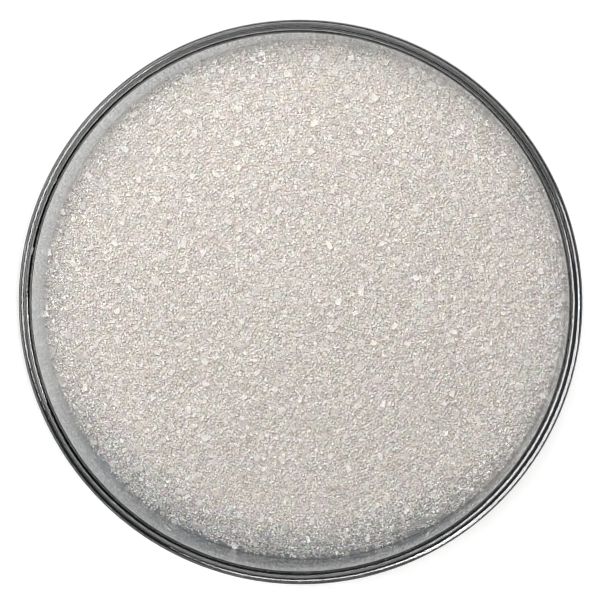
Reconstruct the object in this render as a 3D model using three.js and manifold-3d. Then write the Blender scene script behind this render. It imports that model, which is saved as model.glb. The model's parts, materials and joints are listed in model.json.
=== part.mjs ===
// A round, shallow glass dish with a rounded lip, holding a level bed of granulated sugar.
// Millimetres, +Z up. The origin is the centre of the flat base.
import * as THREE from "three";
import { mergeVertices } from "three/addons/utils/BufferGeometryUtils.js";
import Module from "manifold-3d";

// Glass dish
const dishDiameter = 90;
const dishHeight = 18;
const wallThickness = 2.1;
const floorThickness = 2;
const outerHeelRadius = 3;
const innerHeelRadius = 2;
const dishSegments = 80;
const heelSteps = 5;
const lipSteps = 8;

// Bed of sugar
const glassGap = 0.3; // clear space between the sugar and the glass
const sugarLevel = 7.6; // height of the surface near the wall, above the table
const crownHeight = 1.6; // the middle stands this much higher
const grainRelief = 0.5; // height of the bumps that the grains make
const marginWidth = 7; // width along the wall in which the surface falls away
const leastFall = 0.6;
const lowSides = [
  { direction: 120, fall: 1.4 }, // degrees from +X towards +Y
  { direction: 270, fall: 2.8 },
];
const edgeSetback = { least: 0.4, most: 0.9 }; // the surface's ragged edge stays this far inside
const edgeDrop = 0.5; // from the ragged edge down to the side
const surfaceRings = 28; // ring k holds six times k points, so the points are evenly spaced
const footSteps = 3;

// Slow waves of the surface, left by pouring the sugar and shaking the dish: lengths along X and Y
const waves = [
  { height: 0.18, lengthX: 13, lengthY: 17, startX: 0.7, startY: -0.4 },
  { height: 0.08, lengthX: 5.5, lengthY: 4.8, startX: 2.1, startY: 1.3 },
];

// Large crystals lying in the surface
const crystalCount = 120;
const crystalLength = { least: 1.1, most: 1.7 };
const crystalSlimness = { least: 0.55, most: 0.85 };
const crystalSunk = 0.2; // how far below the surface a crystal's centre lies
const crystalField = 0.95; // share of the bed's radius that they cover
const goldenAngle = Math.PI * (3 - Math.sqrt(5));

// Numbers that keep the random draws of different things apart
const draws = { relief: 1, edge: 2, length: 3, width: 4, depth: 5, turnX: 6, turnY: 7, turnZ: 8 };

const dishRadius = dishDiameter / 2;
const wallRadius = dishRadius - wallThickness;
const bedRadius = wallRadius - glassGap;
const bedBottom = floorThickness + glassGap;

// Always the same value between 0 and 1 for the same draw and whole number.
function chance(draw, index) {
  const scattered = Math.sin(index * 12.9898 + draw * 78.233) * 43758.5453;
  return scattered - Math.floor(scattered);
}

function between(range, share) {
  return range.least + (range.most - range.least) * share;
}

// Half of the dish's section: base, outer heel, wall, lip, wall, inner heel, floor.
function dishSection() {
  const lipRadius = wallThickness / 2;
  const quarter = Math.PI / 2;
  const points = [new THREE.Vector2(0, 0)];
  const addArc = (x, y, radius, from, to, steps) => {
    const arc = new THREE.EllipseCurve(x, y, radius, radius, from, to, to < from);
    points.push(...arc.getPoints(steps));
  };
  addArc(dishRadius - outerHeelRadius, outerHeelRadius, outerHeelRadius, -quarter, 0, heelSteps);
  addArc(dishRadius - lipRadius, dishHeight - lipRadius, lipRadius, 0, Math.PI, lipSteps);
  addArc(
    wallRadius - innerHeelRadius,
    floorThickness + innerHeelRadius,
    innerHeelRadius,
    0,
    -quarter,
    heelSteps,
  );
  points.push(new THREE.Vector2(0, floorThickness));
  return points;
}

function makeDish() {
  const geometry = new THREE.LatheGeometry(dishSection(), dishSegments);
  geometry.rotateX(Math.PI / 2);
  const glass = new THREE.MeshStandardMaterial({
    color: "#dde6e4",
    roughness: 0.05,
    metalness: 0,
    transparent: true,
    opacity: 0.35,
  });
  const dish = new THREE.Mesh(geometry, glass);
  dish.name = "dish";
  return dish;
}

// Height of the sugar's surface: a low crown with slow waves, which falls away along the wall.
function surfaceHeight(x, y) {
  const fromAxis = Math.hypot(x, y);
  let height = sugarLevel + crownHeight * (1 - (fromAxis / bedRadius) ** 2);
  for (const wave of waves) {
    const alongX = Math.sin(x / wave.lengthX + wave.startX);
    const alongY = Math.cos(y / wave.lengthY + wave.startY);
    height += wave.height * alongX * alongY;
  }
  let fall = leastFall;
  for (const side of lowSides) {
    const share = Math.max(0, Math.cos(Math.atan2(y, x) - (side.direction * Math.PI) / 180)) ** 2;
    fall = Math.max(fall, leastFall + (side.fall - leastFall) * share);
  }
  const intoMargin = Math.max(0, 1 - (bedRadius - fromAxis) / marginWidth);
  return height - fall * intoMargin ** 2;
}

// The bed is one closed skin: rings of the bumpy surface, the side, the rounded foot and the bottom.
function makeBed() {
  const positions = [];
  const indices = [];
  const addPoint = (radius, turn, z) => positions.push(radius * Math.cos(turn), radius * Math.sin(turn), z);
  const ringStart = (ring) => (ring === 0 ? 0 : 1 + 3 * ring * (ring - 1));
  const rimPoints = 6 * surfaceRings;

  addPoint(0, 0, surfaceHeight(0, 0));
  for (let ring = 1; ring <= surfaceRings; ring++) {
    for (let place = 0; place < 6 * ring; place++) {
      const index = positions.length / 3;
      const turn = (2 * Math.PI * place) / (6 * ring);
      const setback = ring === surfaceRings ? between(edgeSetback, chance(draws.edge, index)) : 0;
      const radius = (bedRadius * ring) / surfaceRings - setback;
      const level = surfaceHeight(radius * Math.cos(turn), radius * Math.sin(turn));
      addPoint(radius, turn, level + grainRelief * (chance(draws.relief, index) - 0.5));
    }
  }
  // Each sixth of a ring has one more point than the same sixth of the ring inside it.
  for (let ring = 1; ring <= surfaceRings; ring++) {
    const outer = (step) => ringStart(ring) + (step % (6 * ring));
    const inner = (step) => (ring === 1 ? 0 : ringStart(ring - 1) + (step % (6 * (ring - 1))));
    for (let sixth = 0; sixth < 6; sixth++) {
      for (let step = 0; step < ring; step++) {
        const out = sixth * ring + step;
        const into = sixth * (ring - 1) + step;
        indices.push(inner(into), outer(out), outer(out + 1));
        if (step < ring - 1) indices.push(inner(into), outer(out + 1), inner(into + 1));
      }
    }
  }
  // The side's top edge, then the foot, which follows the dish's rounded inner heel.
  const atWall = (turn) => surfaceHeight(bedRadius * Math.cos(turn), bedRadius * Math.sin(turn));
  const side = [{ radius: bedRadius, height: (turn) => atWall(turn) - edgeDrop }];
  for (let step = 0; step <= footSteps; step++) {
    const bend = (Math.PI / 2) * (step / footSteps);
    const height = bedBottom + innerHeelRadius * (1 - Math.sin(bend));
    side.push({ radius: bedRadius - innerHeelRadius * (1 - Math.cos(bend)), height: () => height });
  }
  let above = ringStart(surfaceRings);
  for (const level of side) {
    const below = positions.length / 3;
    for (let place = 0; place < rimPoints; place++) {
      const turn = (2 * Math.PI * place) / rimPoints;
      addPoint(level.radius, turn, level.height(turn));
    }
    for (let place = 0; place < rimPoints; place++) {
      const next = (place + 1) % rimPoints;
      indices.push(above + place, below + place, below + next);
      indices.push(above + place, below + next, above + next);
    }
    above = below;
  }
  const centre = positions.length / 3;
  addPoint(0, 0, bedBottom);
  for (let place = 0; place < rimPoints; place++) {
    indices.push(centre, above + ((place + 1) % rimPoints), above + place);
  }
  const geometry = new THREE.BufferGeometry();
  geometry.setAttribute("position", new THREE.Float32BufferAttribute(positions, 3));
  geometry.setIndex(indices);
  return geometry;
}

// One blocky crystal, turned at random, at its place in an even spiral over the bed.
function makeCrystal(index) {
  const length = between(crystalLength, chance(draws.length, index));
  const width = length * between(crystalSlimness, chance(draws.width, index));
  const depth = width * between(crystalSlimness, chance(draws.depth, index));
  const geometry = new THREE.BoxGeometry(length, width, depth);
  const turns = [draws.turnX, draws.turnY, draws.turnZ];
  const angles = turns.map((draw) => 2 * Math.PI * chance(draw, index));
  geometry.applyMatrix4(new THREE.Matrix4().makeRotationFromEuler(new THREE.Euler(...angles)));
  const radius = bedRadius * crystalField * Math.sqrt((index + 0.5) / crystalCount);
  const x = radius * Math.cos(index * goldenAngle);
  const y = radius * Math.sin(index * goldenAngle);
  geometry.translate(x, y, surfaceHeight(x, y) - crystalSunk);
  return geometry;
}

function toSolid(wasm, geometry) {
  const bare = geometry.clone();
  bare.deleteAttribute("normal");
  bare.deleteAttribute("uv");
  const merged = mergeVertices(bare, 1e-4);
  const vertProperties = new Float32Array(merged.attributes.position.array);
  const triVerts = new Uint32Array(merged.index.array);
  return new wasm.Manifold(new wasm.Mesh({ numProp: 3, vertProperties, triVerts }));
}

function toGeometry(solid) {
  const mesh = solid.getMesh();
  const geometry = new THREE.BufferGeometry();
  geometry.setAttribute("position", new THREE.BufferAttribute(mesh.vertProperties, 3));
  geometry.setIndex(new THREE.BufferAttribute(mesh.triVerts, 1));
  return geometry;
}

async function makeSugar() {
  const wasm = await Module();
  wasm.setup();
  let heap = toSolid(wasm, makeBed());
  for (let index = 0; index < crystalCount; index++) {
    heap = heap.add(toSolid(wasm, makeCrystal(index)));
  }
  const grains = new THREE.MeshStandardMaterial({ color: "#e6dfd8", roughness: 0.55, metalness: 0 });
  const sugar = new THREE.Mesh(toGeometry(heap), grains);
  sugar.name = "sugar";
  return sugar;
}

const dishOfSugar = new THREE.Group();
dishOfSugar.add(makeDish(), await makeSugar());

export default dishOfSugar;
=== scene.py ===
# A shallow glass dish of granulated sugar, seen from above. Metres, +Z up.
import bpy
import bmesh
import json
import math
import random
from mathutils import Matrix, Vector

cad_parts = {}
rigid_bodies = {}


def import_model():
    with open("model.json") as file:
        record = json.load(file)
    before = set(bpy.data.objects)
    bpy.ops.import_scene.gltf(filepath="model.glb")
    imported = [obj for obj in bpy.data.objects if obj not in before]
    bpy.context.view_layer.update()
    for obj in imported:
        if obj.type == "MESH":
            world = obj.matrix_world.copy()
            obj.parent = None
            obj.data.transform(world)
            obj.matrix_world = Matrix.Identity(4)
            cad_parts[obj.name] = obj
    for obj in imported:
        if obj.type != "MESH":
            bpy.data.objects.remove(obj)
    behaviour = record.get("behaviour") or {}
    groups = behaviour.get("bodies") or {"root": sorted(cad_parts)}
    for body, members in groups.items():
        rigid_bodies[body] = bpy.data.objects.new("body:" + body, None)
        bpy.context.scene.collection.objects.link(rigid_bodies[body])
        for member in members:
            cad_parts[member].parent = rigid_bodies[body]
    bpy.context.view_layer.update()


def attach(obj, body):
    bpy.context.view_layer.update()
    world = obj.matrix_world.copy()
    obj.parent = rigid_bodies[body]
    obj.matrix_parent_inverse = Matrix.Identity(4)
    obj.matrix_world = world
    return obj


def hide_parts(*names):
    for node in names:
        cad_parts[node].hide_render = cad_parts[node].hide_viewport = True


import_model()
scene = bpy.context.scene
millimetre = 0.001


# Adds a node to a tree, sets its properties, and fills or links its inputs.
def addNode(tree, kind, settings={}, inputs={}):
    node = tree.nodes.new(kind)
    for name, value in settings.items():
        setattr(node, name, value)
    for name, value in inputs.items():
        if isinstance(value, bpy.types.NodeSocket):
            tree.links.new(value, node.inputs[name])
        else:
            node.inputs[name].default_value = value
    return node


# An sRGB hex colour as linear light, with alpha 1.
def hexColor(code):
    shares = [int(code[place:place + 2], 16) / 255 for place in (1, 3, 5)]
    return [s / 12.92 if s <= 0.04045 else ((s + 0.055) / 1.055) ** 2.4 for s in shares] + [1]


def newMaterial(name):
    material = bpy.data.materials.new(name)
    material.use_nodes = True
    material.node_tree.nodes.clear()
    return material, material.node_tree


# A new node group with the given inputs, each a name and a socket kind.
def newGroup(name, sockets):
    tree = bpy.data.node_groups.new(name, "GeometryNodeTree")
    tree.interface.new_socket("Geometry", in_out="OUTPUT", socket_type="NodeSocketGeometry")
    tree.interface.new_socket("Geometry", in_out="INPUT", socket_type="NodeSocketGeometry")
    for label, kind in sockets:
        tree.interface.new_socket(label, in_out="INPUT", socket_type=kind)
    return tree, addNode(tree, "NodeGroupInput").outputs


# Runs a node group on a mesh with the given inputs and leaves a plain mesh object in its place.
def growPiece(name, tree, mesh, values):
    seedling = bpy.data.objects.new(name + "Seedling", mesh)
    scene.collection.objects.link(seedling)
    grow = seedling.modifiers.new("grow", "NODES")
    grow.node_group = tree
    for item in tree.interface.items_tree:
        if item.in_out == "INPUT" and item.name in values:
            grow[item.identifier] = values[item.name]
    grown = seedling.evaluated_get(bpy.context.evaluated_depsgraph_get())
    piece = bpy.data.objects.new(name, bpy.data.meshes.new_from_object(grown))
    piece.data.name = name
    scene.collection.objects.link(piece)
    seedling.modifiers.remove(grow)
    bpy.data.objects.remove(seedling)
    return piece


def handOver(piece, node):
    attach(piece, "root")
    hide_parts(node)


# Camera, straight above but for a few degrees towards the upper right
camera = {
    "place": Vector((0.020, 0.0115, 0.318)),
    "target": Vector((0.0004, 0.0006, 0.018)),
    "viewWidth": 0.0952,  # what the picture's width spans at the target
    "filmWidth": 36,  # in millimetres, as the lens is
    "nearest": 0.01,
}


def makeCamera():
    lens = bpy.data.cameras.new("camera")
    view = bpy.data.objects.new("camera", lens)
    scene.collection.objects.link(view)
    gaze = camera["target"] - camera["place"]
    backward = -gaze.normalized()
    right = Vector((0, 1, 0)).cross(backward).normalized()
    turn = Matrix((right, backward.cross(right), backward)).transposed()
    view.matrix_world = Matrix.Translation(camera["place"]) @ turn.to_4x4()
    lens.sensor_width = camera["filmWidth"]
    lens.lens = camera["filmWidth"] * gaze.length / camera["viewWidth"]
    lens.clip_start = camera["nearest"]
    scene.camera = view


# Light: a broad box almost overhead and a strip from the upper left. The bars light the glass
# alone, for the lines on its rim. Azimuth is counted from +X towards +Y, in degrees, and the sizes
# are across and up.
lightSizes = {
    "overheadBox": {
        "azimuth": 97, "elevation": 70, "distance": 0.22, "size": (0.17, 0.17), "power": 0.248},
    "leftStrip": {
        "azimuth": 135, "elevation": 48, "distance": 0.25, "size": (0.225, 0.046), "power": 0.187},
    "leftBar": {
        "azimuth": 165, "elevation": 52, "distance": 0.80, "size": (0.60, 0.42), "power": 12.0},
    "frontBar": {
        "azimuth": 276, "elevation": 50, "distance": 0.80, "size": (0.60, 0.36), "power": 10.5,
        "flagged": True},
    "lowBar": {
        "azimuth": 322, "elevation": 32, "distance": 0.80, "size": (0.90, 0.80), "power": 38.0,
        "flagged": True, "mirrored": True},
    "rightBar": {
        "azimuth": 8, "elevation": 40, "distance": 0.80, "size": (0.28, 0.30), "power": 4.2},
}
glassOnly = ("leftBar", "frontBar", "rightBar", "lowBar")
lightColor = "#fffdfb"


def makeLights():
    for name, sizes in lightSizes.items():
        lamp = bpy.data.lights.new(name, "AREA")
        lamp.shape = "RECTANGLE"
        lamp.size, lamp.size_y = sizes["size"]
        lamp.energy = sizes["power"]
        lamp.color = hexColor(lightColor)[:3]
        box = bpy.data.objects.new(name, lamp)
        scene.collection.objects.link(box)
        azimuth, elevation = math.radians(sizes["azimuth"]), math.radians(sizes["elevation"])
        flat = math.cos(elevation)
        toBox = Vector((flat * math.cos(azimuth), flat * math.sin(azimuth), math.sin(elevation)))
        facing = toBox.to_track_quat("Z", "Y").to_matrix().to_4x4()
        box.matrix_world = Matrix.Translation(toBox * sizes["distance"]) @ facing


# The bars shine on this piece alone, and their light is cut where it would go on from a matt
# surface. A mirrored bar shows only where the glass mirrors it, and not through the glass. A
# flagged bar is kept off the half of the rim that lies away from it. Incoming is here the way from
# the lamp to the rim, whatever the view.
def lightGlassAlone(piece):
    lit = bpy.data.collections.new("litByBars")
    lit.objects.link(piece)
    for name in glassOnly:
        sizes = lightSizes[name]
        bar = bpy.data.objects[name]
        bar.light_linking.receiver_collection = lit
        bar.data.use_nodes = True
        tree = bar.data.node_tree
        tree.nodes.clear()
        path = addNode(tree, "ShaderNodeLightPath").outputs
        keptPaths = ["Diffuse Depth"]
        if sizes.get("mirrored"):
            keptPaths.append("Transmission Depth")
        tests = []
        for depth in keptPaths:
            none = addNode(tree, "ShaderNodeMath", {"operation": "LESS_THAN"}, {
                0: path[depth], 1: 0.5})
            tests.append(none.outputs[0])
        if sizes.get("flagged"):
            ray = addNode(tree, "ShaderNodeNewGeometry").outputs
            start = addNode(tree, "ShaderNodeSeparateXYZ", {}, {0: ray["Position"]}).outputs["Z"]
            slope = addNode(tree, "ShaderNodeSeparateXYZ", {}, {0: ray["Incoming"]}).outputs["Z"]
            drop = addNode(tree, "ShaderNodeMath", {"operation": "SUBTRACT"}, {
                0: dish["Height"], 1: start}).outputs[0]
            reach = addNode(tree, "ShaderNodeMath", {"operation": "DIVIDE"}, {
                0: drop, 1: slope}).outputs[0]
            landed = addNode(tree, "ShaderNodeVectorMath", {"operation": "MULTIPLY_ADD"}, {
                0: ray["Incoming"], 1: reach, 2: ray["Position"]}).outputs[0]
            turn = math.radians(sizes["azimuth"])
            near = addNode(tree, "ShaderNodeVectorMath", {"operation": "DOT_PRODUCT"}, {
                0: landed, 1: (math.cos(turn), math.sin(turn), 0)}).outputs["Value"]
            onSide = addNode(tree, "ShaderNodeMath", {"operation": "GREATER_THAN"}, {
                0: near, 1: 0.0})
            tests.append(onSide.outputs[0])
        share = tests[0]
        for test in tests[1:]:
            share = addNode(tree, "ShaderNodeMath", {"operation": "MULTIPLY"}, {
                0: share, 1: test}).outputs[0]
        glow = addNode(tree, "ShaderNodeEmission", {}, {"Strength": share})
        addNode(tree, "ShaderNodeOutputLight", {}, {"Surface": glow.outputs[0]})


# The studio is pale overhead and at the upper left, and dim elsewhere, which draws the glass with
# dark lines
studio = {
    "dim": "#494642",
    "pale": "#d4d7da",
    "paleSide": (-0.25, 0.40, 0.88),
    "dimUpTo": 0.35,
    "paleFrom": 0.95,
    "strength": 1.0,
    "softness": 1.0,  # filter width in pixels: a crisp picture, as the photograph is
}


def makeStudio():
    world = bpy.data.worlds.new("studio")
    world.use_nodes = True
    tree = world.node_tree
    tree.nodes.clear()
    place = addNode(tree, "ShaderNodeTexCoord").outputs["Generated"]
    towards = addNode(tree, "ShaderNodeVectorMath", {"operation": "DOT_PRODUCT"}, {
        0: place, 1: studio["paleSide"]}).outputs["Value"]
    share = addNode(tree, "ShaderNodeMapRange", {"interpolation_type": "SMOOTHSTEP"}, {
        "Value": towards, "From Min": studio["dimUpTo"], "From Max": studio["paleFrom"]})
    color = addNode(tree, "ShaderNodeMix", {"data_type": "RGBA"}, {
        0: share.outputs[0], 6: hexColor(studio["dim"]), 7: hexColor(studio["pale"])}).outputs[2]
    light = addNode(tree, "ShaderNodeBackground", {}, {
        "Color": color, "Strength": studio["strength"]})
    addNode(tree, "ShaderNodeOutputWorld", {}, {"Surface": light.outputs[0]})
    scene.world = world
    scene.view_settings.view_transform = "Standard"
    scene.cycles.filter_width = studio["softness"]


floor = {
    "halfWidth": 2.0,
    "below": 0.05 * millimetre,
    "color": "#f8f8f7",
    "roughness": 0.7,
    "glow": 0.6,
    "paintedShadowCentre": (-2.0 * millimetre, 0.3 * millimetre, 0.0),  # painted contact shadow: the glow is left out round the dish's foot, off centre
    "paintedShadowWithin": 46.8 * millimetre,
    "litBeyond": 48.6 * millimetre,
}


def makeFloor():
    half, z = floor["halfWidth"], -floor["below"]
    corners = [(-half, -half, z), (half, -half, z), (half, half, z), (-half, half, z)]
    mesh = bpy.data.meshes.new("floor")
    mesh.from_pydata(corners, [], [(0, 1, 2, 3)])
    board = bpy.data.objects.new("floor", mesh)
    scene.collection.objects.link(board)
    # Opal acrylic board: matt and faintly lit from below, so that it shows white, with a painted
    # contact shadow where the glow is left out round the dish.
    material, tree = newMaterial("opalBoard")
    place = addNode(tree, "ShaderNodeTexCoord").outputs["Object"]
    # Painted contact shadow: the glow fades out towards the dish's foot
    away = addNode(tree, "ShaderNodeVectorMath", {"operation": "DISTANCE"}, {
        0: place, 1: floor["paintedShadowCentre"]}).outputs["Value"]
    lit = addNode(tree, "ShaderNodeMapRange", {"interpolation_type": "SMOOTHSTEP"}, {
        "Value": away, "From Min": floor["paintedShadowWithin"], "From Max": floor["litBeyond"],
        "To Max": floor["glow"]}).outputs[0]
    paint = addNode(tree, "ShaderNodeBsdfPrincipled", {}, {
        "Base Color": hexColor(floor["color"]), "Roughness": floor["roughness"],
        "Emission Color": hexColor(floor["color"]), "Emission Strength": lit})
    addNode(tree, "ShaderNodeOutputMaterial", {}, {"Surface": paint.outputs[0]})
    mesh.materials.append(material)


# Glass dish: the corners of its section, rounded and turned round the axis
dish = {
    "Diameter": 90 * millimetre,
    "Height": 18 * millimetre,
    "Wall": 2.1 * millimetre,
    "Floor": 2.0 * millimetre,
    "Outer Heel": 3.0 * millimetre,
    "Inner Heel": 2.0 * millimetre,
    "Arc Steps": 14,
    "Turn Steps": 300,
}
turning = {
    "lipShare": 0.4999,  # of the wall: just under half, so that the lip's two roundings stay apart
    "past": 0.03 * millimetre,  # from the end of a rounding to the sharp point that follows it
    "hubRadius": 1e-7,  # so small that the section's X is the distance from the axis
    "weld": 0.005 * millimetre,
}
glass = {
    "color": "#f2f3f4",
    "ior": 1.5,
    "tint": "#aaadaf",
    "density": 22.0,
    "wallShadow": "#f3f3f2",  # what the upper wall lets through to the sugar
    "heelShadow": "#4a4846",  # the thick heel and base bend light away from the table
    "heelUpTo": 5.0 * millimetre,
    "wallFrom": 12.0 * millimetre,
}


# Clear soda-lime glass, pressed and fire-polished: colourless when thin, grey along the wall.
def makeGlass():
    material, tree = newMaterial("clearSodaLimeGlass")
    body = addNode(tree, "ShaderNodeBsdfGlass", {}, {
        "Color": hexColor(glass["color"]), "Roughness": 0.0, "IOR": glass["ior"]})
    place = addNode(tree, "ShaderNodeTexCoord").outputs["Object"]
    height = addNode(tree, "ShaderNodeSeparateXYZ", {}, {0: place}).outputs["Z"]
    upWall = addNode(tree, "ShaderNodeMapRange", {}, {
        "Value": height, "From Min": glass["heelUpTo"], "From Max": glass["wallFrom"]}).outputs[0]
    through = addNode(tree, "ShaderNodeMix", {"data_type": "RGBA"}, {
        0: upWall, 6: hexColor(glass["heelShadow"]), 7: hexColor(glass["wallShadow"])}).outputs[2]
    lampsPass = addNode(tree, "ShaderNodeBsdfTransparent", {}, {"Color": through})
    path = addNode(tree, "ShaderNodeLightPath")
    both = addNode(tree, "ShaderNodeMixShader", {}, {
        0: path.outputs["Is Shadow Ray"], 1: body.outputs[0], 2: lampsPass.outputs[0]})
    tint = addNode(tree, "ShaderNodeVolumeAbsorption", {}, {
        "Color": hexColor(glass["tint"]), "Density": glass["density"]})
    addNode(tree, "ShaderNodeOutputMaterial", {}, {
        "Surface": both.outputs[0], "Volume": tint.outputs[0]})
    return material


def latheTree():
    kinds = [(label, "NodeSocketInt" if label.endswith("Steps") else "NodeSocketFloat")
             for label in dish]
    tree, given = newGroup("latheDish", [*kinds, ("Material", "NodeSocketMaterial")])
    outer = addNode(tree, "ShaderNodeMath", {"operation": "MULTIPLY"}, {
        0: given["Diameter"], 1: 0.5}).outputs[0]
    inner = addNode(tree, "ShaderNodeMath", {"operation": "SUBTRACT"}, {
        0: outer, 1: given["Wall"]}).outputs[0]
    lip = addNode(tree, "ShaderNodeMath", {"operation": "MULTIPLY"}, {
        0: given["Wall"], 1: turning["lipShare"]}).outputs[0]
    # A sharp point just past each rounding keeps the smooth shading of the straight stretches true.
    past = turning["past"]
    ends = {
        "base": ("SUBTRACT", outer, given["Outer Heel"], -past),
        "floor": ("SUBTRACT", inner, given["Inner Heel"], -past),
        "lip": ("SUBTRACT", given["Height"], lip, -past),
        "heel": ("ADD", given["Outer Heel"], 0.0, past),
        "foot": ("ADD", given["Floor"], given["Inner Heel"], past),
    }
    for label, (operation, first, second, further) in ends.items():
        joined = addNode(tree, "ShaderNodeMath", {"operation": operation}, {0: first, 1: second})
        ends[label] = addNode(tree, "ShaderNodeMath", {"operation": "ADD"}, {
            0: joined.outputs[0], 1: further}).outputs[0]
    # Each corner: distance from the axis, height and rounding
    corners = [
        (0.0, 0.0, 0.0),
        (ends["base"], 0.0, 0.0),
        (outer, 0.0, given["Outer Heel"]),
        (outer, ends["heel"], 0.0),
        (outer, ends["lip"], 0.0),
        (outer, given["Height"], lip),
        (inner, given["Height"], lip),
        (inner, ends["lip"], 0.0),
        (inner, ends["foot"], 0.0),
        (inner, given["Floor"], given["Inner Heel"]),
        (ends["floor"], given["Floor"], 0.0),
        (0.0, given["Floor"], 0.0),
    ]
    index = addNode(tree, "GeometryNodeInputIndex").outputs[0]
    place = addNode(tree, "GeometryNodeIndexSwitch", {"data_type": "VECTOR"}, {"Index": index})
    radius = addNode(tree, "GeometryNodeIndexSwitch", {"data_type": "FLOAT"}, {"Index": index})
    for number, (across, up, rounding) in enumerate(corners):
        if number > 1:
            place.index_switch_items.new()
            radius.index_switch_items.new()
        down = addNode(tree, "ShaderNodeMath", {"operation": "MULTIPLY"}, {
            0: up, 1: -1.0}).outputs[0]
        corner = addNode(tree, "ShaderNodeCombineXYZ", {}, {"X": across, "Y": down}).outputs[0]
        tree.links.new(corner, place.inputs[number + 1])
        if isinstance(rounding, float):
            radius.inputs[number + 1].default_value = rounding
        else:
            tree.links.new(rounding, radius.inputs[number + 1])
    row = addNode(tree, "GeometryNodeMeshLine", {}, {"Count": len(corners)})
    placed = addNode(tree, "GeometryNodeSetPosition", {}, {
        "Geometry": row.outputs[0], "Position": place.outputs[0]})
    outline = addNode(tree, "GeometryNodeMeshToCurve", {}, {"Mesh": placed.outputs[0]})
    section = addNode(tree, "GeometryNodeFilletCurve", {"mode": "POLY"}, {
        "Curve": outline.outputs[0], "Count": given["Arc Steps"], "Radius": radius.outputs[0],
        "Limit Radius": True})
    hub = addNode(tree, "GeometryNodeCurvePrimitiveCircle", {}, {
        "Resolution": given["Turn Steps"], "Radius": turning["hubRadius"]})
    upright = addNode(tree, "GeometryNodeSetCurveNormal", {"mode": "Z_UP"}, {
        "Curve": hub.outputs[0]})
    turned = addNode(tree, "GeometryNodeCurveToMesh", {}, {
        "Curve": upright.outputs[0], "Profile Curve": section.outputs[0]})
    closed = addNode(tree, "GeometryNodeMergeByDistance", {}, {
        "Geometry": turned.outputs[0], "Distance": turning["weld"]})
    smooth = addNode(tree, "GeometryNodeSetShadeSmooth", {}, {
        "Geometry": closed.outputs[0], "Shade Smooth": True})
    real = addNode(tree, "GeometryNodeRealizeInstances", {}, {"Geometry": smooth.outputs[0]})
    dressed = addNode(tree, "GeometryNodeSetMaterial", {}, {
        "Geometry": real.outputs[0], "Material": given["Material"]})
    addNode(tree, "NodeGroupOutput", {}, {"Geometry": dressed.outputs[0]})
    return tree


def makeDish():
    blank = bpy.data.meshes.new("blank")
    piece = growPiece("glass_dish", latheTree(), blank, {**dish, "Material": makeGlass()})
    shell = bmesh.new()
    shell.from_mesh(piece.data)
    bmesh.ops.recalc_face_normals(shell, faces=shell.faces)
    shell.to_mesh(piece.data)
    shell.free()
    handOver(piece, "dish")
    lightGlassAlone(piece)
    print("glass dish:", len(piece.data.polygons), "faces")


# Bed of sugar
bed = {
    "radius": 42.95 * millimetre,  # just inside the glass, so that no air gap shows
    "bottom": 1.95 * millimetre,
    "footRadius": 2.0 * millimetre,
    "level": 7.3 * millimetre,  # of the core near the wall, under the loose crystals
    "crown": 1.6 * millimetre,  # the middle stands this much higher
    "bumps": 0.08,  # in millimetres, up and down
    "marginWidth": 7.0 * millimetre,
    "leastFall": 0.6 * millimetre,
    "lowSides": [  # direction and fall
        (math.radians(120), 1.4 * millimetre),
        (math.radians(270), 2.8 * millimetre),
    ],
    "seed": 41,
    "rings": 84,
    "sideSteps": 10,
    "footSteps": 5,
    "baseRings": (0.8, 0.6, 0.4, 0.2),  # shares of the flat base's radius
}
# Slow waves of the surface: height, lengths along X and Y, and where they start
waves = [
    (0.18 * millimetre, 13 * millimetre, 17 * millimetre, 0.7, -0.4),
    (0.08 * millimetre, 5.5 * millimetre, 4.8 * millimetre, 2.1, 1.3),
]


def bedHeight(x, y):
    fromAxis = math.hypot(x, y)
    height = bed["level"] + bed["crown"] * (1 - (fromAxis / bed["radius"]) ** 2)
    for rise, alongX, alongY, startX, startY in waves:
        height += rise * math.sin(x / alongX + startX) * math.cos(y / alongY + startY)
    fall = bed["leastFall"]
    for direction, most in bed["lowSides"]:
        share = max(0, math.cos(math.atan2(y, x) - direction)) ** 2
        fall = max(fall, bed["leastFall"] + (most - bed["leastFall"]) * share)
    intoMargin = max(0, 1 - (bed["radius"] - fromAxis) / bed["marginWidth"])
    return height - fall * intoMargin ** 2


# The number of the first point of a ring: ring k holds six times k points, round a middle point.
def ringStart(ring):
    return 1 + 3 * ring * (ring - 1) if ring else 0


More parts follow.
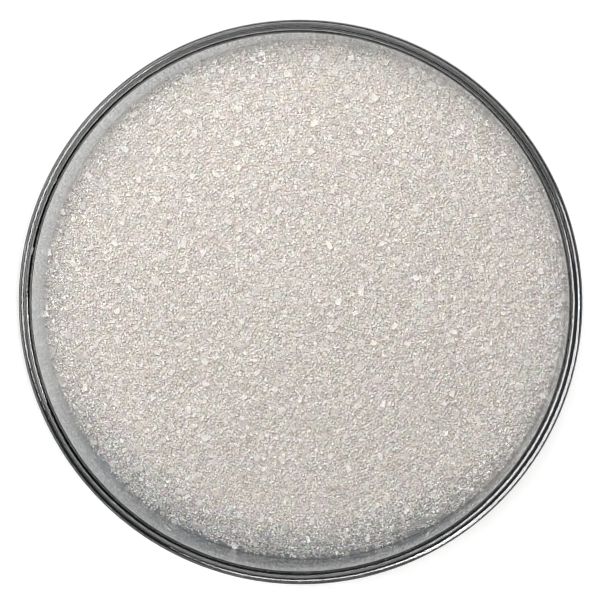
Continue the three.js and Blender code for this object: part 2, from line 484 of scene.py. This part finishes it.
# The core is one closed skin of rings: bumpy top, side, rounded foot and bottom.
def bedMesh():
    draw = random.Random(bed["seed"])
    rings = bed["rings"]
    points = [(0, 0, bedHeight(0, 0))]
    faces = []
    for ring in range(1, rings + 1):
        radius = bed["radius"] * ring / rings
        for step in range(6 * ring):
            turn = math.tau * step / (6 * ring)
            x, y = radius * math.cos(turn), radius * math.sin(turn)
            bump = draw.uniform(-bed["bumps"], bed["bumps"]) * millimetre
            points.append((x, y, bedHeight(x, y) + bump))
    for ring in range(1, rings + 1):
        around, within = 6 * ring, max(6 * (ring - 1), 1)
        for sixth in range(6):
            for step in range(ring):
                out, into = sixth * ring + step, sixth * (ring - 1) + step
                outer = [ringStart(ring) + (out + k) % around for k in (0, 1)]
                inner = [ringStart(ring - 1) + (into + k) % within for k in (0, 1)]
                faces.append((inner[0], outer[0], outer[1]))
                if step < ring - 1:
                    faces.append((inner[0], outer[1], inner[1]))
    around = 6 * rings
    edge = ringStart(rings)
    edgeLevel = min(points[edge + step][2] for step in range(around))
    foot = bed["footRadius"]
    levels = []
    for step in range(1, bed["sideSteps"]):
        drop = (bed["bottom"] + foot - edgeLevel) * step / bed["sideSteps"]
        levels.append((bed["radius"], edgeLevel + drop))
    for step in range(bed["footSteps"] + 1):
        turn = math.pi / 2 * step / bed["footSteps"]
        radius = bed["radius"] - foot * (1 - math.cos(turn))
        levels.append((radius, bed["bottom"] + foot * (1 - math.sin(turn))))
    for share in bed["baseRings"]:
        levels.append(((bed["radius"] - foot) * share, bed["bottom"]))
    above = edge
    for radius, z in levels:
        below = len(points)
        for step in range(around):
            turn = math.tau * step / around
            points.append((radius * math.cos(turn), radius * math.sin(turn), z))
        for step in range(around):
            after = (step + 1) % around
            faces.append((above + step, below + step, below + after, above + after))
        above = below
    centre = len(points)
    points.append((0, 0, bed["bottom"]))
    for step in range(around):
        faces.append((centre, above + (step + 1) % around, above + step))
    mesh = bpy.data.meshes.new("sugar_bed")
    mesh.from_pydata(points, [], faces)
    mesh.validate()
    return mesh


sugar = {
    "clear": "#c3b7ae",  # a facet that shows what is behind it
    "white": "#fefcf9",  # a facet that scatters or returns the light
    "thinShadedClear": "#74757a",  # painted shade: the clear facet darker and greyer where the bed runs out at its low side, for the shade seen through it
    "thinShadeSide": math.radians(257),
    "thinShadeTurn": (0.35, 0.85),  # cosines of the angles from the low side between which it grows full
    "thinShadeReach": (34.0 * millimetre, 42.5 * millimetre),
    "wallShadeReach": (35.5 * millimetre, 42.5 * millimetre),
    "wallShadeShare": 0.3,  # painted shade: how much darker the bed is made along the rest of the wall
    "thinShadeAbove": (3.6 * millimetre, 4.4 * millimetre),  # the bed's side keeps its full colour, without the painted shade, below
    "patch": 1.8 * millimetre,  # width of the faintly warmer and cooler patches
    "patchDetail": 3.0,
    "patchRoughness": 0.7,
    "patchShare": 0.5,
    "paintedGlint": 0.18 * millimetre,  # width of the painted glints: lighter and darker spots for the light that edges inside and behind a crystal catch
    "paintedGlintShare": 0.82,
    "paintedSparkles": (0.8, 0.95),  # spots past this share of the draw get a painted sparkle, brighter up to the brightest
    "paintedSparkle": 0.62,
    "relief": 0.05 * millimetre,  # growth steps on the facets, as wide as the glints
    "reliefShare": 0.5,
    "shadow": "#e6e5e3",  # what a clear crystal lets through to the ones below
    "ior": 1.54,
}
# Finishes of the crystals: the darkest and the whitest of their spots, as shares of white, how
# rough their facets are and how much they let through
finishes = {
    "sucroseCrystals": {"spots": (0.35, 1.0), "roughness": 0.16, "clearness": 0.0},
    "clearSucroseCrystals": {"spots": (0.7, 1.0), "roughness": 0.06, "clearness": 0.75},
    "paleSucroseCrystals": {"spots": (0.6, 1.0), "roughness": 0.16, "clearness": 0.4},
}


# The share of painted shade on the bed: much at its low side, where the bed runs thin over the
# glass, and a little along the whole wall.
def thinAndShadeShare(tree, place):
    flat = addNode(tree, "ShaderNodeVectorMath", {"operation": "MULTIPLY"}, {
        0: place, 1: (1, 1, 0)}).outputs[0]
    away = addNode(tree, "ShaderNodeVectorMath", {"operation": "LENGTH"}, {
        0: flat}).outputs["Value"]
    heading = addNode(tree, "ShaderNodeVectorMath", {"operation": "NORMALIZE"}, {
        0: flat}).outputs[0]
    towards = (math.cos(sugar["thinShadeSide"]), math.sin(sugar["thinShadeSide"]), 0)
    turn = addNode(tree, "ShaderNodeVectorMath", {"operation": "DOT_PRODUCT"}, {
        0: heading, 1: towards}).outputs["Value"]
    shares = []
    for value, label in ((turn, "thinShadeTurn"), (away, "thinShadeReach"), (away, "wallShadeReach")):
        grown = addNode(tree, "ShaderNodeMapRange", {"interpolation_type": "SMOOTHSTEP"}, {
            "Value": value, "From Min": sugar[label][0], "From Max": sugar[label][1]})
        shares.append(grown.outputs[0])
    low = addNode(tree, "ShaderNodeMath", {"operation": "MULTIPLY"}, {
        0: shares[0], 1: shares[1]}).outputs[0]
    edge = addNode(tree, "ShaderNodeMath", {"operation": "MULTIPLY"}, {
        0: shares[2], 1: sugar["wallShadeShare"]}).outputs[0]
    shadedThin = addNode(tree, "ShaderNodeMath", {"operation": "MAXIMUM"}, {0: low, 1: edge}).outputs[0]
    height = addNode(tree, "ShaderNodeSeparateXYZ", {}, {0: place}).outputs["Z"]
    above = addNode(tree, "ShaderNodeMapRange", {}, {
        "Value": height, "From Min": sugar["thinShadeAbove"][0], "From Max": sugar["thinShadeAbove"][1]})
    return addNode(tree, "ShaderNodeMath", {"operation": "MULTIPLY"}, {
        0: shadedThin, 1: above.outputs[0]}).outputs[0]


# Granulated sucrose: blocky crystals, grown in syrup and sieved. They look off-white in a heap and
# glint on their flat faces, and the larger ones are partly clear. Fine glints and sparkles are also
# painted into their colour, and so is shade where the bed runs thin.
def makeSugarMaterial(name):
    finish = finishes[name]
    material, tree = newMaterial(name)
    place = addNode(tree, "ShaderNodeTexCoord").outputs["Object"]
    tone = addNode(tree, "ShaderNodeAttribute", {"attribute_name": "tone"}).outputs["Fac"]
    facet = addNode(tree, "ShaderNodeAttribute", {"attribute_name": "facet"}).outputs["Fac"]
    both = addNode(tree, "ShaderNodeMath", {"operation": "MULTIPLY"}, {
        0: tone, 1: facet}).outputs[0]
    # Painted glints: fine spots of lighter and darker colour, standing in for light caught by
    # facets and inner edges
    spots = addNode(tree, "ShaderNodeTexVoronoi", {}, {
        "Vector": place, "Scale": 1 / sugar["paintedGlint"]})
    spot = addNode(tree, "ShaderNodeSeparateXYZ", {}, {0: spots.outputs["Color"]}).outputs["X"]
    paintedGlints = addNode(tree, "ShaderNodeMath", {"operation": "MULTIPLY"}, {
        0: spot, 1: spot}).outputs[0]
    mixed = addNode(tree, "ShaderNodeMix", {}, {
        0: sugar["paintedGlintShare"], 2: both, 3: paintedGlints}).outputs[0]
    even = addNode(tree, "ShaderNodeMapRange", {}, {
        "Value": mixed, "To Min": finish["spots"][0], "To Max": finish["spots"][1]})
    # Painted sparkles: the brightest spots are pushed towards white
    paintedSparkles = addNode(tree, "ShaderNodeMapRange", {}, {
        "Value": spot, "From Min": sugar["paintedSparkles"][0], "From Max": sugar["paintedSparkles"][1],
        "To Max": sugar["paintedSparkle"]})
    share = addNode(tree, "ShaderNodeMath", {"operation": "ADD", "use_clamp": True}, {
        0: even.outputs[0], 1: paintedSparkles.outputs[0]})
    # Painted shade: the clear colour turns grey where the bed runs thin and along the wall
    clear = addNode(tree, "ShaderNodeMix", {"data_type": "RGBA"}, {
        0: thinAndShadeShare(tree, place), 6: hexColor(sugar["clear"]),
        7: hexColor(sugar["thinShadedClear"])}).outputs[2]
    color = addNode(tree, "ShaderNodeMix", {"data_type": "RGBA"}, {
        0: share.outputs[0], 6: clear, 7: hexColor(sugar["white"])}).outputs[2]
    patches = addNode(tree, "ShaderNodeTexNoise", {}, {
        "Vector": place, "Scale": 1 / sugar["patch"], "Detail": sugar["patchDetail"],
        "Roughness": sugar["patchRoughness"]}).outputs["Color"]
    tinted = addNode(tree, "ShaderNodeMix", {"data_type": "RGBA", "blend_type": "SOFT_LIGHT"}, {
        0: sugar["patchShare"], 6: color, 7: patches}).outputs[2]
    steps = addNode(tree, "ShaderNodeBump", {}, {
        "Height": spots.outputs["Distance"], "Distance": sugar["relief"],
        "Strength": sugar["reliefShare"]}).outputs[0]
    body = addNode(tree, "ShaderNodeBsdfPrincipled", {}, {
        "Base Color": tinted, "Roughness": finish["roughness"], "IOR": sugar["ior"],
        "Normal": steps, "Transmission Weight": finish["clearness"]})
    if finish["clearness"]:
        lampsPass = addNode(tree, "ShaderNodeBsdfTransparent", {}, {
            "Color": hexColor(sugar["shadow"])})
        path = addNode(tree, "ShaderNodeLightPath")
        body = addNode(tree, "ShaderNodeMixShader", {}, {
            0: path.outputs["Is Shadow Ray"], 1: body.outputs[0], 2: lampsPass.outputs[0]})
    addNode(tree, "ShaderNodeOutputMaterial", {}, {"Surface": body.outputs[0]})
    return material


packed = {
    "cell": 0.6 * millimetre,  # a crystal's width
    "dark": "#c6bfb7",
    "pale": "#efe9e2",
    # painted shade: the grey the core takes where the bed runs thin and along the wall
    "shadedThin": "#979b9e",
    "relief": 0.3 * millimetre,
    "reliefShare": 0.8,
    "roughness": 0.4,
}


# Packed sucrose crystals under the loose ones and against the glass: a dull off-white mosaic, with
# painted shade where the bed runs thin and along the wall.
def makeCoreMaterial():
    material, tree = newMaterial("packedSugar")
    place = addNode(tree, "ShaderNodeTexCoord").outputs["Object"]
    cells = addNode(tree, "ShaderNodeTexVoronoi", {}, {
        "Vector": place, "Scale": 1 / packed["cell"]})
    color = addNode(tree, "ShaderNodeMix", {"data_type": "RGBA"}, {
        0: cells.outputs["Color"], 6: hexColor(packed["dark"]),
        7: hexColor(packed["pale"])}).outputs[2]
    # Painted shade: grey where the bed runs thin at its low side and a little along the wall
    thinnedAndShaded = addNode(tree, "ShaderNodeMix", {"data_type": "RGBA"}, {
        0: thinAndShadeShare(tree, place), 6: color, 7: hexColor(packed["shadedThin"])}).outputs[2]
    bump = addNode(tree, "ShaderNodeBump", {}, {
        "Height": cells.outputs["Distance"], "Distance": packed["relief"],
        "Strength": packed["reliefShare"]}).outputs[0]
    body = addNode(tree, "ShaderNodeBsdfPrincipled", {}, {
        "Base Color": thinnedAndShaded, "Roughness": packed["roughness"], "IOR": sugar["ior"],
        "Normal": bump})
    addNode(tree, "ShaderNodeOutputMaterial", {}, {"Surface": body.outputs[0]})
    return material


# Cut shapes, as shares of a block of width 1
cutting = {
    "shapes": 8,
    "taper": 0.25,
    "shear": 0.25,
    "leastSlant": 0.35,  # the smallest part of a cut's direction along an edge of the block
    "depth": (0.12, 0.3),
}


# Cuts a set of crystals: sheared, tapered blocks with the given number of corners or edges cut off.
def cutCrystals(name, cuts, seed):
    draw = random.Random(seed)
    shapes = bpy.data.collections.new(name)
    for number in range(cutting["shapes"]):
        block = bmesh.new()
        bmesh.ops.create_cube(block, size=1)
        taper = [draw.uniform(-cutting["taper"], cutting["taper"]) for axis in range(2)]
        shear = [draw.uniform(-cutting["shear"], cutting["shear"]) for axis in range(2)]
        for corner in block.verts:
            x, y, z = corner.co
            corner.co = (x * (1 + taper[0] * z) + shear[0] * z,
                         y * (1 + taper[1] * z) + shear[1] * z, z)
        for cut in range(cuts):
            slant = [draw.choice((-1, 1)) * draw.uniform(cutting["leastSlant"], 1)
                     for axis in range(3)]
            normal = Vector(slant).normalized()
            far = max(corner.co.dot(normal) for corner in block.verts)
            parts = block.verts[:] + block.edges[:] + block.faces[:]
            point = normal * (far - draw.uniform(*cutting["depth"]))
            sliced = bmesh.ops.bisect_plane(
                block, geom=parts, plane_co=point, plane_no=normal, clear_outer=True)
            edges = [part for part in sliced["geom_cut"] if isinstance(part, bmesh.types.BMEdge)]
            bmesh.ops.contextual_create(block, geom=edges)
        bmesh.ops.recalc_face_normals(block, faces=block.faces)
        mesh = bpy.data.meshes.new(f"{name}{number}")
        block.to_mesh(mesh)
        block.free()
        shapes.objects.link(bpy.data.objects.new(mesh.name, mesh))
    return shapes


scatterSockets = [
    ("Shapes", "NodeSocketCollection"),
    ("Length", "NodeSocketFloat"),
    ("Least Size", "NodeSocketVector"),
    ("Most Size", "NodeSocketVector"),
    ("Spacing", "NodeSocketFloat"),
    ("Facing Up", "NodeSocketFloat"),
    ("Reach", "NodeSocketFloat"),
    ("Lowest", "NodeSocketFloat"),
    ("Highest", "NodeSocketFloat"),
    ("Tilt", "NodeSocketFloat"),
    ("Seed", "NodeSocketInt"),
    ("Material", "NodeSocketMaterial"),
]
scatter = {
    "facingWithin": 0.45,  # how far a face's Z direction may be from the one asked for
    "crowd": 5.0,  # draws for each square of the spacing; more would only take longer
    "picks": 1000,
    "toneSeed": 11,
    "facetSeed": 12,
}
# Small bays in the edge of the loose crystals; the noise makes them between the two shares
ragged = {
    "width": 1.2 * millimetre,
    "depth": 0.9 * millimetre,
    "detail": 2.0,
    "shares": (0.4, 0.65),
}


# Scatters crystals over the faces of the bed that point up, or to the side, and joins them to one
# mesh.
def scatterTree():
    tree, given = newGroup("scatterCrystals", scatterSockets)
    normal = addNode(tree, "GeometryNodeInputNormal").outputs[0]
    up = addNode(tree, "ShaderNodeSeparateXYZ", {}, {0: normal}).outputs["Z"]
    position = addNode(tree, "GeometryNodeInputPosition").outputs[0]
    flat = addNode(tree, "ShaderNodeVectorMath", {"operation": "MULTIPLY"}, {
        0: position, 1: (1, 1, 0)}).outputs[0]
    away = addNode(tree, "ShaderNodeVectorMath", {"operation": "LENGTH"}, {
        0: flat}).outputs["Value"]
    facing = addNode(tree, "FunctionNodeCompare", {"operation": "EQUAL"}, {
        0: up, 1: given["Facing Up"], "Epsilon": scatter["facingWithin"]}).outputs[0]
    bays = addNode(tree, "ShaderNodeTexNoise", {}, {
        "Vector": position, "Scale": 1 / ragged["width"], "Detail": ragged["detail"]})
    inset = addNode(tree, "ShaderNodeMapRange", {}, {
        "Value": bays.outputs["Fac"], "From Min": ragged["shares"][0],
        "From Max": ragged["shares"][1], "To Max": ragged["depth"]}).outputs[0]
    reached = addNode(tree, "ShaderNodeMath", {"operation": "ADD"}, {0: away, 1: inset}).outputs[0]
    within = addNode(tree, "FunctionNodeCompare", {"operation": "LESS_THAN"}, {
        0: reached, 1: given["Reach"]}).outputs[0]
    chosen = addNode(tree, "FunctionNodeBooleanMath", {"operation": "AND"}, {
        0: facing, 1: within}).outputs[0]
    square = addNode(tree, "ShaderNodeMath", {"operation": "MULTIPLY"}, {
        0: given["Spacing"], 1: given["Spacing"]}).outputs[0]
    crowd = addNode(tree, "ShaderNodeMath", {"operation": "DIVIDE"}, {
        0: scatter["crowd"], 1: square}).outputs[0]
    spread = addNode(tree, "GeometryNodeDistributePointsOnFaces", {
        "distribute_method": "POISSON"}, {
        "Mesh": given["Geometry"], "Selection": chosen, "Distance Min": given["Spacing"],
        "Density Max": crowd, "Seed": given["Seed"]})
    seeds = []
    for number in range(4):
        seed = addNode(tree, "ShaderNodeMath", {"operation": "ADD"}, {
            0: given["Seed"], 1: float(number)})
        seeds.append(seed.outputs[0])
    rise = addNode(tree, "FunctionNodeRandomValue", {}, {
        2: given["Lowest"], 3: given["Highest"], "Seed": seeds[0]}).outputs[1]
    lift = addNode(tree, "ShaderNodeVectorMath", {"operation": "SCALE"}, {
        0: spread.outputs["Normal"], "Scale": rise}).outputs[0]
    lifted = addNode(tree, "GeometryNodeSetPosition", {}, {
        "Geometry": spread.outputs["Points"], "Offset": lift})
    tiltBack = addNode(tree, "ShaderNodeMath", {"operation": "MULTIPLY"}, {
        0: given["Tilt"], 1: -1.0}).outputs[0]
    least = addNode(tree, "ShaderNodeCombineXYZ", {}, {
        "X": tiltBack, "Y": tiltBack, "Z": 0.0}).outputs[0]
    most = addNode(tree, "ShaderNodeCombineXYZ", {}, {
        "X": given["Tilt"], "Y": given["Tilt"], "Z": math.tau}).outputs[0]
    lean = addNode(tree, "FunctionNodeRandomValue", {"data_type": "FLOAT_VECTOR"}, {
        0: least, 1: most, "Seed": seeds[1]}).outputs[0]
    turn = addNode(tree, "FunctionNodeEulerToRotation", {}, {0: lean}).outputs[0]
    facingTurn = addNode(tree, "FunctionNodeRotateRotation", {"rotation_space": "LOCAL"}, {
        0: spread.outputs["Rotation"], 1: turn}).outputs[0]
    size = addNode(tree, "FunctionNodeRandomValue", {"data_type": "FLOAT_VECTOR"}, {
        0: given["Least Size"], 1: given["Most Size"], "Seed": seeds[2]}).outputs[0]
    trueSize = addNode(tree, "ShaderNodeVectorMath", {"operation": "SCALE"}, {
        0: size, "Scale": given["Length"]}).outputs[0]
    shapes = addNode(tree, "GeometryNodeCollectionInfo", {}, {
        "Collection": given["Shapes"], "Separate Children": True, "Reset Children": True})
    pick = addNode(tree, "FunctionNodeRandomValue", {"data_type": "INT"}, {
        4: 0, 5: scatter["picks"], "Seed": seeds[3]}).outputs[2]
    crystals = addNode(tree, "GeometryNodeInstanceOnPoints", {}, {
        "Points": lifted.outputs[0], "Instance": shapes.outputs[0], "Pick Instance": True,
        "Instance Index": pick, "Rotation": facingTurn, "Scale": trueSize})
    # Each crystal and each of its facets keeps a tone of its own for the material.
    toneDraw = addNode(tree, "FunctionNodeRandomValue", {}, {
        "Seed": scatter["toneSeed"]}).outputs[1]
    toned = addNode(tree, "GeometryNodeStoreNamedAttribute", {"domain": "INSTANCE"}, {
        "Geometry": crystals.outputs[0], "Name": "tone", "Value": toneDraw})
    real = addNode(tree, "GeometryNodeRealizeInstances", {}, {"Geometry": toned.outputs[0]})
    facetDraw = addNode(tree, "FunctionNodeRandomValue", {}, {
        "Seed": scatter["facetSeed"]}).outputs[1]
    faceted = addNode(tree, "GeometryNodeStoreNamedAttribute", {"domain": "FACE"}, {
        "Geometry": real.outputs[0], "Name": "facet", "Value": facetDraw})
    dressed = addNode(tree, "GeometryNodeSetMaterial", {}, {
        "Geometry": faceted.outputs[0], "Material": given["Material"]})
    addNode(tree, "NodeGroupOutput", {}, {"Geometry": dressed.outputs[0]})
    return tree


# Loose crystals. Sizes in millimetres; least and most are a crystal's length, width and thickness
# as shares of that length, and height is how far its middle lies above the core.
crystals = {
    "deep_crystals": {
        "finish": "sucroseCrystals", "cuts": 0, "length": 0.47, "spacing": 0.48,
        "least": (0.8, 0.6, 0.5), "most": (1.2, 0.9, 0.8),
        "height": (-0.15, 0.05), "tilt": 0.9, "seed": 100, "faces": "top"},
    "fine_crystals": {
        "finish": "sucroseCrystals", "cuts": 0, "length": 0.45, "spacing": 0.48,
        "least": (0.7, 0.4, 0.4), "most": (1.4, 0.65, 0.6),
        "height": (0.08, 0.24), "tilt": 0.38, "seed": 200, "faces": "top"},
    "small_crystals": {
        "finish": "sucroseCrystals", "cuts": 0, "length": 0.41, "spacing": 0.48,
        "least": (0.7, 0.4, 0.4), "most": (1.3, 0.65, 0.6),
        "height": (0.08, 0.26), "tilt": 0.45, "seed": 250, "faces": "top"},
    "even_crystals": {
        "finish": "clearSucroseCrystals", "cuts": 1, "length": 0.50, "spacing": 0.56,
        "least": (0.8, 0.6, 0.5), "most": (1.15, 0.9, 0.8),
        "height": (0.04, 0.26), "tilt": 0.42, "seed": 300, "faces": "top"},
    "coarse_crystals": {
        "finish": "paleSucroseCrystals", "cuts": 2, "length": 0.76, "spacing": 1.4,
        "least": (0.8, 0.55, 0.4), "most": (1.15, 0.85, 0.7),
        "height": (0.08, 0.26), "tilt": 0.35, "seed": 400, "faces": "top"},
    "large_crystals": {
        "finish": "paleSucroseCrystals", "cuts": 2, "length": 1.1, "spacing": 3.4,
        "least": (0.8, 0.55, 0.35), "most": (1.2, 0.85, 0.6),
        "height": (0.2, 0.35), "tilt": 0.3, "seed": 500, "faces": "top"},
    "wall_crystals": {
        "finish": "sucroseCrystals", "cuts": 0, "length": 0.54, "spacing": 0.40,
        "least": (0.8, 0.65, 0.5), "most": (1.2, 0.95, 0.8),
        "height": (-0.26, -0.10), "tilt": 0.6, "seed": 600, "faces": "side"},
}
# Which way the core's faces point, as Z, and how far from the axis they may lie, in metres
faceChoices = {
    "top": {"Facing Up": 1.0, "Reach": 42.75 * millimetre},
    "side": {"Facing Up": 0.0, "Reach": 1.0},
}


def makeSugar():
    core = bpy.data.objects.new("sugar_bed", bedMesh())
    scene.collection.objects.link(core)
    core.data.materials.append(makeCoreMaterial())
    print("sugar bed:", len(core.data.polygons), "faces")
    tree = scatterTree()
    materials = {name: makeSugarMaterial(name) for name in finishes}
    total = 0
    for name, sizes in crystals.items():
        shapes = cutCrystals(name + "Shapes", sizes["cuts"], sizes["seed"])
        lowest, highest = [height * millimetre for height in sizes["height"]]
        piece = growPiece(name, tree, core.data, {
            **faceChoices[sizes["faces"]], "Shapes": shapes, "Length": sizes["length"] * millimetre,
            "Least Size": sizes["least"], "Most Size": sizes["most"],
            "Spacing": sizes["spacing"] * millimetre, "Lowest": lowest, "Highest": highest,
            "Tilt": sizes["tilt"], "Seed": sizes["seed"], "Material": materials[sizes["finish"]]})
        for shape in list(shapes.objects):
            bpy.data.objects.remove(shape)
        bpy.data.collections.remove(shapes)
        triangles = sum(len(face.vertices) - 2 for face in piece.data.polygons)
        total += triangles
        print(name + ":", triangles, "triangles")
        handOver(piece, "sugar")
    handOver(core, "sugar")
    print("crystals in all:", total, "triangles")


makeCamera()
makeLights()
makeStudio()
makeFloor()
print("studio ready")
makeDish()
makeSugar()
